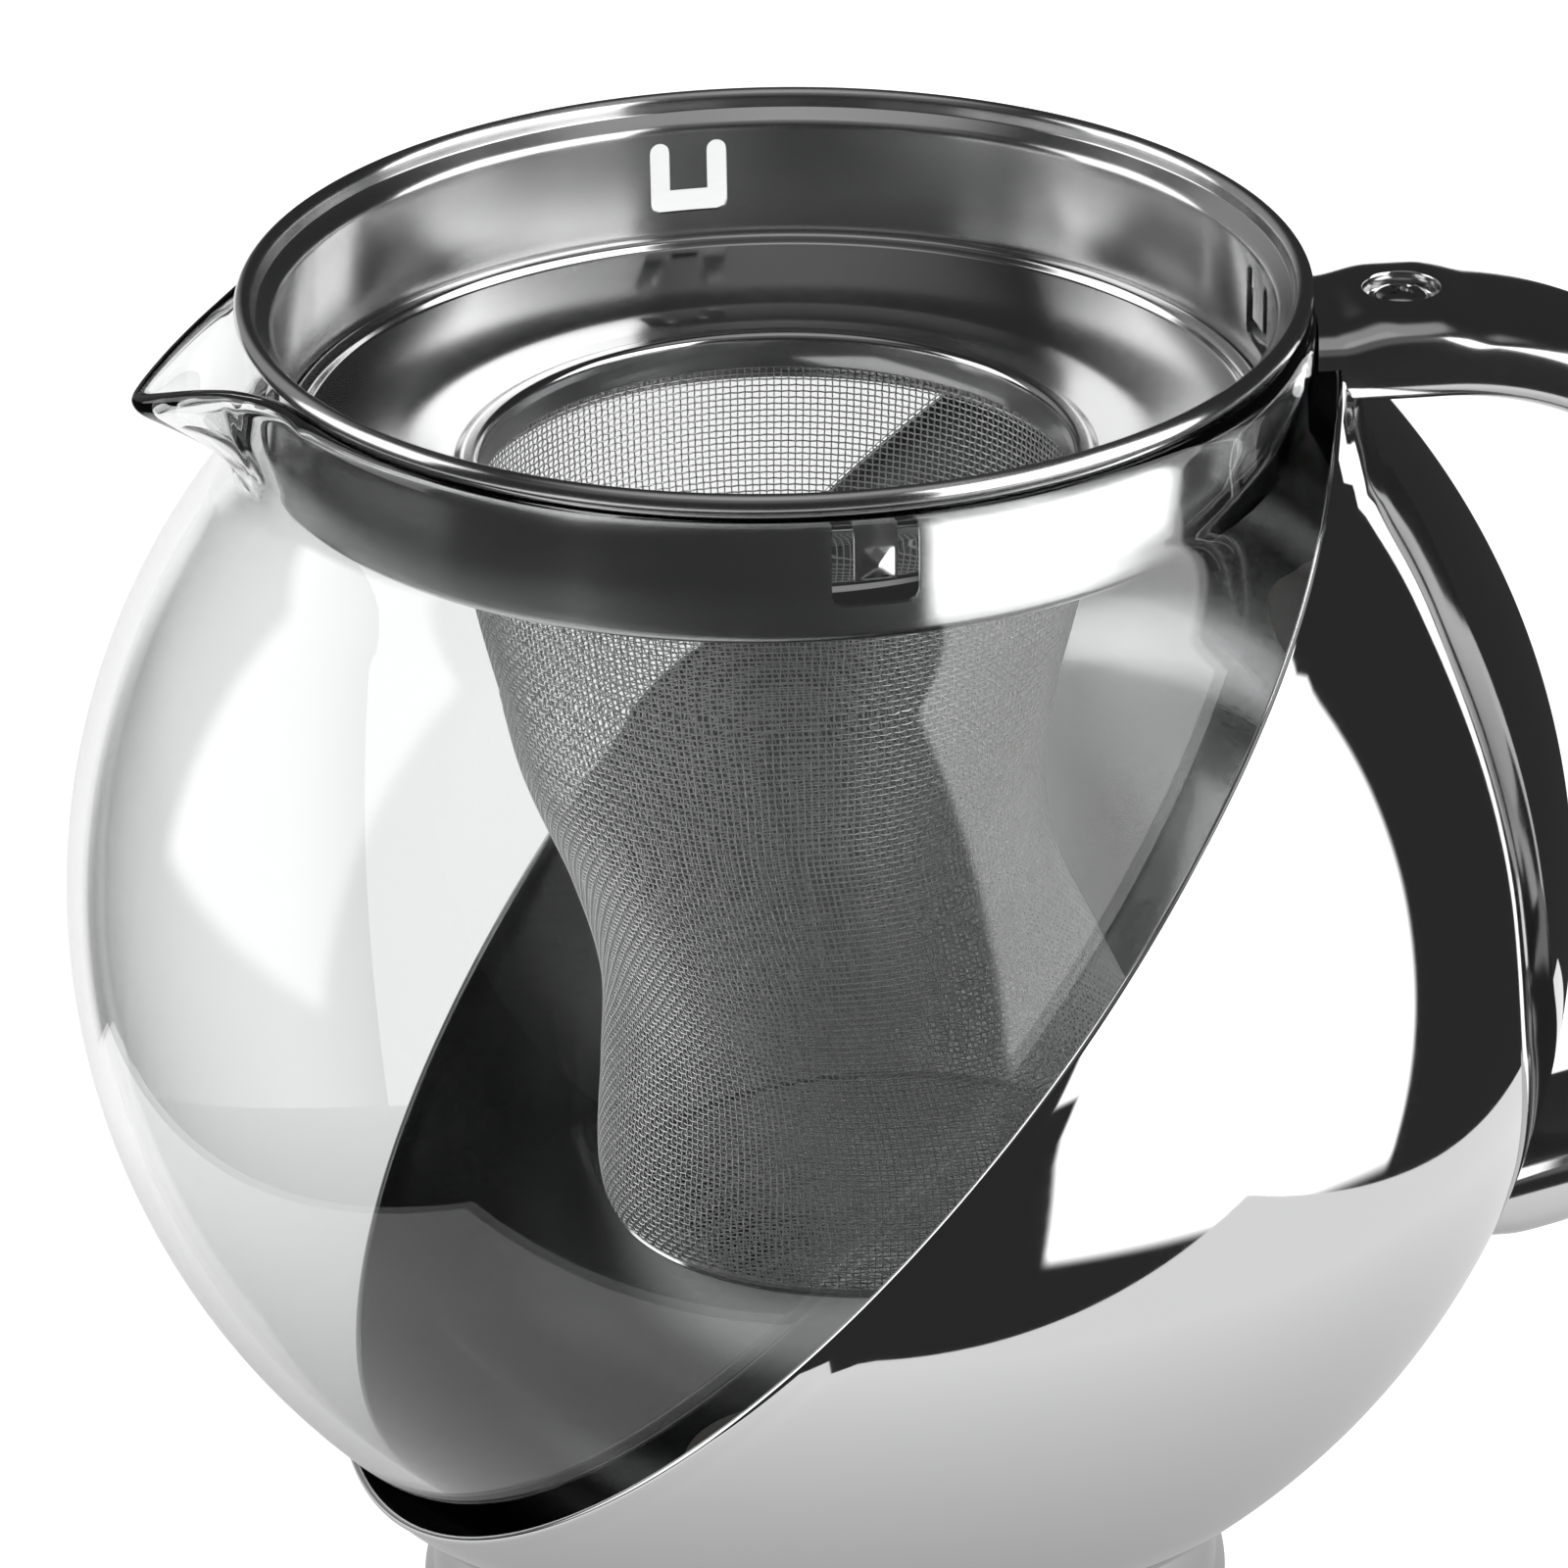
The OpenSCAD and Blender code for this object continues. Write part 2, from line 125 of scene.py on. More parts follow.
def sheet_section(path, thickness):
    """The closed outline of a sheet of that thickness along a path, with round ends."""
    half = thickness / 2
    cap_steps = 4
    normals = []
    for i in range(len(path)):
        along = (path[min(i + 1, len(path) - 1)] - path[max(i - 1, 0)]).normalized()
        normals.append(Vector((-along.y, along.x)))
    outline = [p + n * half for p, n in zip(path, normals)]
    for end, side in ((len(path) - 1, 1), (0, -1)):
        n = normals[end]
        out = Vector((n.y, -n.x)) * side
        for k in range(1, cap_steps):
            a = math.pi * k / cap_steps
            outline.append(path[end] + n * side * half * math.cos(a) + out * half * math.sin(a))
        if side == 1:
            outline += [p - n * half for p, n in reversed(list(zip(path, normals)))]
    return outline


def lathe(name, outline, centre, steps=256):
    """A closed outline in millimetres, turned about the vertical axis through centre."""
    verts = []
    for p in outline:
        for j in range(steps):
            a = TAU * j / steps
            verts.append(centre + Vector((p.x * math.cos(a), p.x * math.sin(a), p.y)) * MM)
    return add_mesh(name, verts, grid_faces(len(outline), steps, closed_rows=True))


def thick_surface(name, grid, thickness, bead, bead_length, cap_height=None):
    """A cup from a grid of middle points, first row at the pole: two skins that thicken to a bead at the rim.

    grid[i][j] is row i, column j. Sizes are in metres. cap_height is the bead's rise above the last row."""
    cap_height = cap_height or bead
    rows, columns = len(grid), len(grid[0])
    normals, ups = [], []
    for i in range(rows):
        for j in range(columns):
            up = grid[min(i + 1, rows - 1)][j] - grid[max(i - 1, 1)][j]
            across = grid[i][(j + 1) % columns] - grid[i][j - 1]
            normals.append(across.cross(up).normalized())
            ups.append(up.normalized())
    lengths = [0.0] * rows
    for i in range(rows - 2, -1, -1):
        lengths[i] = lengths[i + 1] + (grid[i + 1][0] - grid[i][0]).length

    def half(i):
        return thickness / 2 + (bead - thickness / 2) * smooth_step(1 - lengths[i] / bead_length)

    pole = grid[0][0]
    pole_normal = (pole - sum((grid[1][j] for j in range(columns)), Vector()) / columns).normalized()
    verts = [pole + pole_normal * thickness / 2]
    for i in range(1, rows):
        verts += [grid[i][j] + normals[i * columns + j] * half(i) for j in range(columns)]
    last = rows - 1
    for k in range(1, CAP_STEPS):
        a = math.pi * k / CAP_STEPS
        for j in range(columns):
            n, up = normals[last * columns + j], ups[last * columns + j]
            verts.append(grid[last][j] + n * math.cos(a) * bead + up * math.sin(a) * cap_height)
    for i in range(last, 0, -1):
        verts += [grid[i][j] - normals[i * columns + j] * half(i) for j in range(columns)]
    verts.append(pole - pole_normal * thickness / 2)
    ring_count = (len(verts) - 2) // columns
    faces = [tuple(1 + f for f in face) for face in grid_faces(ring_count, columns)]
    end = len(verts) - 1
    faces += [(0, 1 + (j + 1) % columns, 1 + j) for j in range(columns)]
    first_of_last = 1 + (ring_count - 1) * columns
    faces += [(end, first_of_last + j, first_of_last + (j + 1) % columns) for j in range(columns)]
    return add_mesh(name, verts, faces, sharp=60)


def subtract(obj, cutters, sharp=40):
    """Cuts the cutters out of obj and removes them."""
    for cutter in cutters:
        cut = obj.modifiers.new("cut", "BOOLEAN")
        cut.operation = "DIFFERENCE"
        cut.solver = "EXACT"
        cut.object = cutter
    graph = bpy.context.evaluated_depsgraph_get()
    mesh = bpy.data.meshes.new_from_object(obj.evaluated_get(graph))
    obj.modifiers.clear()
    obj.data = mesh
    finish_mesh(mesh, sharp)
    for cutter in cutters:
        bpy.data.objects.remove(cutter)


def smooth_step(t):
    """0 below 0, 1 above 1, and a soft rise between."""
    t = min(max(t, 0.0), 1.0)
    return t * t * (3 - 2 * t)


# ---------------------------------------------------------------- materials

class Nodes:
    """A new material with a Principled shader, and short ways to add nodes to it."""

    def __init__(self, name):
        self.material = bpy.data.materials.new(name)
        self.material.use_nodes = True
        self.tree = self.material.node_tree
        self.shader = self.tree.nodes["Principled BSDF"]

    def add(self, kind, links=None, **values):
        node = self.tree.nodes.new(kind)
        for key, value in values.items():
            if key in node.inputs:
                node.inputs[key].default_value = value
            else:
                setattr(node, key, value)
        for socket, source in (links or {}).items():
            self.tree.links.new(source, node.inputs[socket])
        return node

    def place(self, stretch):
        """Object coordinates in metres, scaled by stretch along each axis."""
        where = self.add("ShaderNodeTexCoord")
        return self.add("ShaderNodeMapping", {"Vector": where.outputs["Object"]}, Scale=stretch).outputs[0]

    def set(self, **values):
        for key, value in values.items():
            self.shader.inputs[key.replace("_", " ")].default_value = value

    def link(self, source, socket):
        self.tree.links.new(source, self.shader.inputs[socket])

    def span(self, source, low, high):
        """A 0 to 1 value mapped to low to high."""
        return self.add("ShaderNodeMapRange", {"Value": source}, **{"To Min": low, "To Max": high}).outputs[0]

    def bump(self, source, depth):
        node = self.add("ShaderNodeBump", {"Height": source}, Strength=1.0, Distance=depth)
        self.link(node.outputs[0], "Normal")


def polished_steel(name, tone, rough_low, rough_high, ripple, stretch=(1, 1, 1), drawn=0.0):
    """Bright stainless steel: faint ripple from pressing, fine polishing scratches and uneven gloss.

    drawn is how much finer scratches around the vertical axis smear a reflection up and down."""
    m = Nodes(name)
    m.set(Metallic=1.0)
    if drawn:
        m.set(Anisotropic=drawn, Anisotropic_Rotation=0.25)
        m.link(m.add("ShaderNodeTangent", direction_type="RADIAL", axis="Z").outputs[0], "Tangent")
    place = m.place(stretch)
    cloud = m.add("ShaderNodeTexNoise", {"Vector": place}, Scale=35.0, Detail=3.0)
    scratch = m.add("ShaderNodeTexNoise", {"Vector": place}, Scale=900.0, Detail=2.0)
    colour = m.add("ShaderNodeValToRGB", {"Fac": cloud.outputs["Fac"]})
    colour.color_ramp.elements[0].color = (tone * 0.96, tone * 0.96, tone * 0.965, 1)
    colour.color_ramp.elements[1].color = (tone, tone, tone, 1)
    m.link(colour.outputs[0], "Base Color")
    worn = {0: cloud.outputs["Fac"], 1: scratch.outputs["Fac"]}
    gloss = m.add("ShaderNodeMath", worn, operation="MULTIPLY")
    m.link(m.span(gloss.outputs[0], rough_low, rough_high), "Roughness")
    wave = m.add("ShaderNodeTexNoise", {"Vector": place}, Scale=60.0, Detail=1.0)
    m.bump(wave.outputs["Fac"], ripple)
    return m.material


def clear_glass(name):
    m = Nodes(name)
    m.set(Base_Color=(0.985, 0.99, 0.99, 1), Roughness=0.0, IOR=1.47, Transmission_Weight=1.0)
    wave = m.add("ShaderNodeTexNoise", {"Vector": m.place((1, 1, 0.5))}, Scale=30.0, Detail=1.0)
    m.bump(wave.outputs["Fac"], 0.00004)
    return m.material


def wire_steel(name):
    m = Nodes(name)
    m.set(Metallic=1.0)
    spot = m.add("ShaderNodeTexNoise", {"Vector": m.place((1, 1, 1))}, Scale=1500.0, Detail=2.0)
    colour = m.add("ShaderNodeValToRGB", {"Fac": spot.outputs["Fac"]})
    colour.color_ramp.elements[0].color = (0.85, 0.85, 0.85, 1)
    colour.color_ramp.elements[1].color = (0.98, 0.98, 0.98, 1)
    m.link(colour.outputs[0], "Base Color")
    m.link(m.span(spot.outputs["Fac"], 0.3, 0.5), "Roughness")
    return m.material


def silicone(name):
    m = Nodes(name)
    m.set(Subsurface_Weight=0.4, Subsurface_Scale=0.002)
    grain = m.add("ShaderNodeTexNoise", {"Vector": m.place((1, 1, 1))}, Scale=700.0, Detail=4.0)
    colour = m.add("ShaderNodeValToRGB", {"Fac": grain.outputs["Fac"]})
    colour.color_ramp.elements[0].color = (0.7, 0.7, 0.69, 1)
    colour.color_ramp.elements[1].color = (0.82, 0.82, 0.81, 1)
    m.link(colour.outputs[0], "Base Color")
    m.link(m.span(grain.outputs["Fac"], 0.45, 0.6), "Roughness")
    m.bump(grain.outputs["Fac"], 0.00003)
    return m.material


SHELL_STEEL = polished_steel("shell steel", 0.66, 0.015, 0.09, 0.00002)
SATIN_STEEL = polished_steel("shell steel inside", 0.68, 0.1, 0.3, 0.00002, stretch=(1, 1, 3))
HANDLE_STEEL = polished_steel("handle steel", 0.62, 0.1, 0.24, 0.00002)
INFUSER_STEEL = polished_steel("infuser steel", 0.7, 0.17, 0.26, 0.000005, stretch=(1, 1, 6), drawn=0.92)
FUNNEL_STEEL = polished_steel("funnel steel", 0.6, 0.1, 0.2, 0.000005)
LUG_STEEL = polished_steel("lug steel", 0.5, 0.3, 0.5, 0.00005)
SCREW_STEEL = polished_steel("screw steel", 0.6, 0.08, 0.3, 0.00003)
WIRE_STEEL = wire_steel("wire steel")
JUG_GLASS = clear_glass("jug glass")
PAD_SILICONE = silicone("pad silicone")


def dress(piece, material, slot, body, *nodes):
    """Gives a piece its material and body, and hides the CAD nodes that it stands for. slot is not used."""
    piece.data.materials.clear()
    piece.data.materials.append(material)
    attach(piece, body)
    if nodes:
        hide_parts(*nodes)


# ---------------------------------------------------------------- camera

CAMERA_AZIMUTH = -5.29
CAMERA_ELEVATION = 26.81
CAMERA_ROLL = -0.97
CAMERA_DISTANCE = 0.6
CAMERA_LENS = 150.6
AIM = POT + Vector((-2.71, 0, 11.22)) * MM


def make_camera():
    a, e, roll = (math.radians(v) for v in (CAMERA_AZIMUTH, CAMERA_ELEVATION, CAMERA_ROLL))
    back = Vector((math.sin(a) * math.cos(e), -math.cos(a) * math.cos(e), math.sin(e)))
    level = (-back).cross(Vector((0, 0, 1))).normalized()
    up = level.cross(-back)
    right = level * math.cos(roll) + up * math.sin(roll)
    camera = bpy.data.objects.new("camera", bpy.data.cameras.new("camera"))
    camera.data.lens = CAMERA_LENS
    camera.data.sensor_width = 36
    camera.data.clip_start = 0.01
    axes = (right, back.cross(right), back)
    turn = camera.matrix_world.to_3x3()
    for column, axis in enumerate(axes):
        for row in range(3):
            turn[row][column] = axis[row]
    camera.matrix_world = turn.to_4x4()
    camera.location = AIM + back * CAMERA_DISTANCE
    bpy.context.scene.collection.objects.link(camera)
    bpy.context.scene.camera = camera


# ---------------------------------------------------------------- glass jug

GLASS_T = 2.0
NECK_R = 46.6          # middle of the neck's wall
NECK_FILLET = 4.0
BEAD_HALF = 1.1        # half the thickness of the fire-polished edge
BEAD_TALL = 1.6        # height over which the edge closes
LIP_REACH = 55.4       # the lip's tip, to the middle of its wall
LIP_WIDE = 24.0        # degrees each side of the lip where it leaves the neck's round
DIP_WIDE = 30.0        # degrees each side where the mouth starts to dip
LIP_DIP = 5.2
LIP_ROOT_Z = 46.6


def jug_path():
    """Middle of the glass from the ball's bottom to the mouth, as (r, z) in millimetres."""
    ball_r = GLASS_R / MM - GLASS_T / 2
    ball_z = BALL_Z / MM
    meet = math.asin(NECK_R / ball_r)
    stop = math.pi - meet - 0.09
    path = [Vector((ball_r * math.sin(t), ball_z - ball_r * math.cos(t))) for t in
            (stop * i / 70 for i in range(71))]
    corner_z = ball_z + ball_r * math.cos(meet)
    top = MOUTH_Z / MM - BEAD_TALL
    start, corner, end = path[-1], Vector((NECK_R, corner_z)), Vector((NECK_R, corner_z + NECK_FILLET))
    for k in range(1, 11):
        t = k / 10
        path.append((1 - t) ** 2 * start + 2 * t * (1 - t) * corner + t * t * end)
    path += [Vector((NECK_R, end.y + (top - end.y) * i / 14)) for i in range(1, 15)]
    return path


def lip_shape(turn, p):
    """Where the lip pulls a point (r, z) of the neck, turn radians away from the lip's middle."""
    away = abs(math.degrees(turn))
    away = math.sqrt(away * away + 3.0) - math.sqrt(3.0) * max(0.0, 1 - away / 12)
    top = MOUTH_Z / MM - BEAD_TALL
    rise = (p.y - LIP_ROOT_Z) / (top - LIP_ROOT_Z)
    if rise <= 0 or away >= DIP_WIDE:
        return p
    pull = max(0.0, 1 - away / LIP_WIDE) ** 1.75 * (LIP_REACH - NECK_R)
    dip = (1 - away / DIP_WIDE) ** 2.4 * LIP_DIP
    return Vector((p.x + pull * rise ** 1.15, p.y - dip * rise))


def make_jug():
    path = jug_path()
    turns = []
    turn = 0.0
    while turn < 180:
        turns.append(turn)
        turn += 0.45 if turn < 22 else 1.2
    turns = [math.radians(t) for t in turns]
    turns = turns + [TAU - t for t in reversed(turns[1:])]
    grid = []
    for p in path:
        row = []
        for turn in turns:
            away = turn if turn < math.pi else turn - TAU
            q = lip_shape(away, p)
            row.append(JUG + Vector((-q.x * math.cos(turn), -q.x * math.sin(turn), q.y)) * MM)
        grid.append(row)
    jug = thick_surface("jug", grid, GLASS_T * MM, BEAD_HALF * MM, 5.0 * MM, BEAD_TALL * MM)
    dress(jug, JUG_GLASS, "jug_glass", "pot", "glass_jug")


# ---------------------------------------------------------------- steel shell and foot

SHEET_T = 0.6
CUT_LEAN = math.radians(48.5)
CUT_OFFSET = 0.6
TAB_R = 46.9           # middle of the short neck wall at the shell's top
EDGE_HALF = 0.42       # half the thickness of the polished edge


def neck_wall(p):
    """Turns the top of the shell's ball up into its neck wall. p is in millimetres, from the shell's centre.

    The ball's part inside the neck's radius is spread up the wall, with a soft bend between the two."""
    flat = math.hypot(p.x, p.y)
    if p.z < 0 or flat > TAB_R + 4:
        return p
    soft = 1.2
    inside = TAB_R - flat
    past = (inside + math.sqrt(inside * inside + soft * soft)) / 2
    keep = past + flat
    slope = flat / max(p.z, 1.0)
    lift = past * (math.sqrt(1 + slope * slope) - slope) * 0.8
    return Vector((p.x * keep / flat, p.y * keep / flat, p.z + lift))


def make_shell():
    middle = SHELL_R / MM - SHEET_T / 2
    pole = Vector((math.sin(CUT_LEAN), 0, -math.cos(CUT_LEAN)))
    side = Vector((0, 1, 0))
    up = pole.cross(side)
    edge = math.pi / 2 + math.asin((CUT_OFFSET - EDGE_HALF) / middle)
    rows, columns = 110, 320
    grid = []
    for i in range(rows + 1):
        t = edge * i / rows
        inset = (EDGE_HALF - SHEET_T / 2 + 0.02) * smooth_step(1 - (edge - t) * middle / 2.5)
        row = []
        for j in range(columns):
            a = TAU * j / columns
            out = side * math.cos(a) + up * math.sin(a)
            p = (pole * math.cos(t) + out * math.sin(t)) * (middle - inset)
            row.append(POT + neck_wall(p) * MM)
        grid.append(row)
    shell = thick_surface("shell", grid, SHEET_T * MM, EDGE_HALF * MM, 1.2 * MM)
    dress(shell, SHELL_STEEL, "shell_steel", "pot", "steel_shell")
    shell.data.materials.append(SATIN_STEEL)
    for face in shell.data.polygons:
        if face.normal.dot(face.center - POT) < -0.5 * SHELL_R:
            face.material_index = 1


def make_foot():
    base_r = foot_high.x / MM - POT.x / MM - 1.2
    top = foot_high.z / MM
    path = fillet([
        (base_r - 1.9, 0.9, 0), (base_r - 1.9, 0.35, 0.3), (base_r - 0.2, 0.35, 1.2), (base_r + 0.5, 1.9, 1),
        (base_r - 0.5, 4.0, 2), (base_r - 2.0, top - 0.6, 0)])
    outline = sheet_section(path, 0.7)
    foot = lathe("foot", outline, Vector((POT.x, 0, 0)))
    dress(foot, SHELL_STEEL, "shell_steel", "pot", "foot_ring")


# ---------------------------------------------------------------- infuser

SHEET = 0.5
RIM_OVERHANG = 2.9     # from the wall's outside to the rim's outside
SLOT_W = 7.3
TONGUE_W = 3.4
TONGUE_H = 4.8
SLOT_LOW = 50.2
SLOT_HIGH = 57.3
TONGUE_TURN = 5
TONGUES = ("handle_side", "back", "lip_side", "front")


def wall_radius():
    """Middle of the infuser's wall, which stands inside the glass neck, under the rolled rim."""
    return RIM_R / MM - RIM_OVERHANG - SHEET / 2


def slot_outline():
    """The U-shaped slot around a tongue, as (across, up) points with round ends."""
    half, inner = SLOT_W / 2, TONGUE_W / 2 + 0.08
    low, high, tongue_low = SLOT_LOW, SLOT_HIGH, SLOT_HIGH - TONGUE_H
    arm = (half - inner) / 2
    points = []
    for side in (1, -1):
        turn = [(half, low, 0.9), (half, high - arm, 0)]
        lower = [(side * x, z) for x, z in ((half - 0.9, low), (half - 0.26, low + 0.26), (half, low + 0.9))]
        cap = [(side * (half - arm + arm * math.cos(a)), high - arm + arm * math.sin(a)) for a in
               (math.pi * k / 8 for k in range(9))]
        inside = [(side * inner, tongue_low)]
        run = lower + cap + inside
        points += run if side == 1 else run[::-1]
    return points


def slot_cutter(turn):
    """A prism through the wall along a radius, in the slot's outline."""
    outline = slot_outline()
    out = Vector((math.cos(turn), math.sin(turn), 0))
    across = Vector((-math.sin(turn), math.cos(turn), 0))
    verts = []
    for r in (wall_radius() - 3, wall_radius() + 1.6):
        verts += [JUG + (out * r + across * x + Vector((0, 0, z))) * MM for x, z in outline]
    n = len(outline)
    faces = [tuple(range(n)), tuple(range(2 * n - 1, n - 1, -1))]
    faces += [(i, (i + 1) % n, n + (i + 1) % n, n + i) for i in range(n)]
    return add_mesh("slot", verts, faces)


def make_infuser_wall():
    r, top = wall_radius(), RIM_Z / MM
    roll = 0.85
    centre = Vector((RIM_R / MM - roll, top - roll))
    path = [centre + Vector((math.cos(a), math.sin(a))) * (roll - SHEET / 2) for a in
            (math.radians(v) for v in range(-130, 171, 10))]
    inner = centre.x - roll
    path += fillet([
        (inner + 0.2, top - 1.1, 0), (inner + 0.1, top - 1.7, 0.5), (r, top - 2.7, 0.9), (r, top - 4, 0)])
    bottom = WALL_BOTTOM_Z / MM
    path += [Vector((r, top - 4 - (top - bottom - 6) * i / 8)) for i in range(1, 9)]
    path += fillet([(r, bottom + 2, 0), (r, bottom + SHEET / 2, 1.2), (r - 1.6, bottom + SHEET / 2, 0)])[1:]
    wall = lathe("infuser_rim", sheet_section(path, SHEET), JUG, steps=360)
    turns = [math.radians(TONGUE_TURN + 90 * k) for k in range(4)]
    subtract(wall, [slot_cutter(t) for t in turns])
    dress(wall, INFUSER_STEEL, "infuser_steel", "infuser", "infuser_wall")


def make_tongue(name, turn):
    """A spring tongue in the wall's curve, with a pressed pyramid."""
    r = wall_radius()
    high = SLOT_HIGH - 0.06
    low = SLOT_HIGH - TONGUE_H
    columns, rows = 21, 31
    pyramid_z, pyramid_half = low + 1.55, 1.4
    grid = []
    for i in range(rows):
        z = low + (high - low) * i / (rows - 1)
        trim = max(0.0, 0.5 - (z - low))
        half = TONGUE_W / 2 - 0.5 + math.sqrt(max(0.0, 0.25 - trim * trim))
        for j in range(columns):
            x = half * (2 * j / (columns - 1) - 1)
            peak = max(0.0, 1 - max(abs(x), abs(z - pyramid_z)) / pyramid_half)
            push = 0.75 * min(peak, 0.92)
            grid.append((x, z, push))
    verts = []
    for side in (0.5, -0.5):
        for x, z, push in grid:
            a = turn + x / r
            reach = r + side * SHEET + push
            verts.append(JUG + Vector((reach * math.cos(a), reach * math.sin(a), z)) * MM)
    n = rows * columns
    faces = grid_faces(rows, columns, closed_columns=False)
    faces += [tuple(n + f for f in reversed(face)) for face in faces]
    border = list(range(columns)) + [i * columns + columns - 1 for i in range(1, rows)]
    border += [(rows - 1) * columns + j for j in range(columns - 2, -1, -1)]
    border += [i * columns for i in range(rows - 2, 0, -1)]
    for k, a in enumerate(border):
        b = border[(k + 1) % len(border)]
        faces.append((a, b, n + b, n + a))
    tongue = add_mesh("tongue_" + name, verts, faces, sharp=35)
    dress(tongue, INFUSER_STEEL, "infuser_steel", "tongue_" + name, "spring_tongue_" + name)


def make_floor():
    edge = wall_radius() - SHEET / 2 - 0.05
    bottom = WALL_BOTTOM_Z / MM
    throat, collar = 27.9, 26.6
    crest = COLLAR_BOTTOM_Z / MM + 3.4
    path = fillet([
        (edge - 0.25, bottom + 0.35, 0), (edge - 0.3, bottom + 1.25, 0.5), (edge - 1.2, bottom + 1.1, 0.5),
        (edge - 1.6, bottom + 0.35, 0.8), (throat + 5, crest - 0.95, 30), (throat + 0.9, crest - 0.75, 1),
        (throat + 0.1, crest - 0.25, 0.6), (collar + 0.15, crest - 0.35, 0.6), (collar, crest - 1.4, 0.5),
        (collar, crest - 3.15, 0)], steps=12)
    floor = lathe("funnel", sheet_section(path, SHEET * 0.9), JUG, steps=300)
    dress(floor, FUNNEL_STEEL, "infuser_steel", "infuser", "funnel_floor")


def make_throat_ring():
    r = (ring_high.x - JUG.x) / MM - 0.25
    low, high = ring_low.z / MM - POT.z / MM, ring_high.z / MM - POT.z / MM
    path = [Vector((r, low + 0.2)), Vector((r, (low + high) / 2)), Vector((r, high - 0.2))]
    ring = lathe("clamp_band", sheet_section(path, 0.45), JUG, steps=200)
    dress(ring, INFUSER_STEEL, "infuser_steel", "infuser", "throat_ring")


# ---------------------------------------------------------------- wire cloth

# Height above the shell's centre, middle along X from the jug's axis, half width along X and along Y.
SLEEVE = [
    (43, 0, 27.4, 27.4), (39, 0, 27.4, 27.4), (30, -0.2, 26.8, 26.6), (22, -0.1, 25.3, 26),
    (15, 0.2, 24, 25.5), (4, 2.9, 22.6, 25), (-7, 6.5, 23.6, 24), (-17, 8.5, 25.8, 22.6),
    (-26, 8.9, 26.8, 21.6), (-29.2, 8.8, 26.5, 21.3), (-30.7, 8.7, 25.9, 20.8), (-31.2, 8.7, 25, 20.2)]
WARP_PITCH = 0.69
WEFT_PITCH = 0.605
BOTTOM_PITCH = 0.65
WIRE_R = 0.08


def sleeve_at(h):
    """Middle, half width along X and along Y at a height, eased between the stations."""
    for k in range(len(SLEEVE) - 1):
        if SLEEVE[k][0] >= h >= SLEEVE[k + 1][0]:
            break
    quad = [SLEEVE[max(k - 1, 0)], SLEEVE[k], SLEEVE[k + 1], SLEEVE[min(k + 2, len(SLEEVE) - 1)]]
    span = quad[2][0] - quad[1][0]
    t = (h - quad[1][0]) / span
    result = []
    for c in (1, 2, 3):
        before = (quad[2][c] - quad[0][c]) / (quad[2][0] - quad[0][0]) * span
        after = (quad[3][c] - quad[1][c]) / (quad[3][0] - quad[1][0]) * span
        a, b = quad[1][c], quad[2][c]
        result.append((2 * t ** 3 - 3 * t * t + 1) * a + (t ** 3 - 2 * t * t + t) * before
                      + (3 * t * t - 2 * t ** 3) * b + (t ** 3 - t * t) * after)
    return result


def sleeve_point(angle, h):
    """(middle of the cloth, outward normal) in metres."""
    middle, wide, deep = sleeve_at(h)
    inset = 2 * WIRE_R
    c, s = math.cos(angle), math.sin(angle)
    out = Vector((c * deep, s * wide, 0)).normalized()
    where = Vector((middle + (wide - inset) * c, (deep - inset) * s, h))
    fade = smooth_step((38 - h) / 12) * smooth_step((h + 31) / 8)
    dent = noise.noise(Vector((c * 1.3, s * 1.3, h / 22))) * 0.5 * fade
    return JUG + (where + out * dent) * MM, out


def wires(name, lines):
    """Round wires through lines of (point, outward, across) triples; a line may be closed."""
    sides = 4
    verts, faces = [], []
    for line, closed in lines:
        base = len(verts)
        for point, out, across in line:
            for k in range(sides):
                a = TAU * (k + 0.5) / sides
                verts.append(point + (out * math.cos(a) + across * math.sin(a)) * WIRE_R * MM)
        ring = grid_faces(len(line), sides, closed_rows=closed)
        faces += [tuple(base + f for f in face) for face in ring]
        if not closed:
            faces.append(tuple(base + k for k in range(sides)))
            end = base + (len(line) - 1) * sides
            faces.append(tuple(end + k for k in reversed(range(sides))))
    mesh = bpy.data.meshes.new(name)
    mesh.from_pydata([tuple(v) for v in verts], [], faces)
    mesh.polygons.foreach_set("use_smooth", [True] * len(mesh.polygons))
    obj = bpy.data.objects.new(name, mesh)
    bpy.context.scene.collection.objects.link(obj)
    return obj


def make_sleeve():
    top, bottom = SLEEVE[0][0], SLEEVE[-1][0]
    around = 2 * round(TAU * SLEEVE[0][2] / WARP_PITCH / 2)
    heights = [top - 0.2]
    while heights[-1] - WEFT_PITCH > bottom:
        heights.append(heights[-1] - WEFT_PITCH)
    up = Vector((0, 0, 1))
    warp, weft = [], []
    for i in range(around):
        a = TAU * i / around
        line = []
        for j, h in enumerate(heights):
            point, out = sleeve_point(a, h)
            side = 1 if (i + j) % 2 else -1
            line.append((point + out * side * WIRE_R * MM, out, Vector((-math.sin(a), math.cos(a), 0))))
        warp.append((line, False))
    for j, h in enumerate(heights):
        line = []
        for i in range(around):
            point, out = sleeve_point(TAU * i / around, h)
            side = -1 if (i + j) % 2 else 1
            line.append((point + out * side * WIRE_R * MM, out, up))
        weft.append((line, True))
    middle = len(weft) // 2
    for name, lines in (("sleeve_warp_back", warp[:around // 2]), ("sleeve_warp_front", warp[around // 2:]),
                        ("sleeve_weft_upper", weft[:middle]), ("sleeve_weft_lower", weft[middle:])):
        cloth = wires(name, lines)
        dress(cloth, WIRE_STEEL, "wire_cloth", "infuser", "mesh_sleeve")


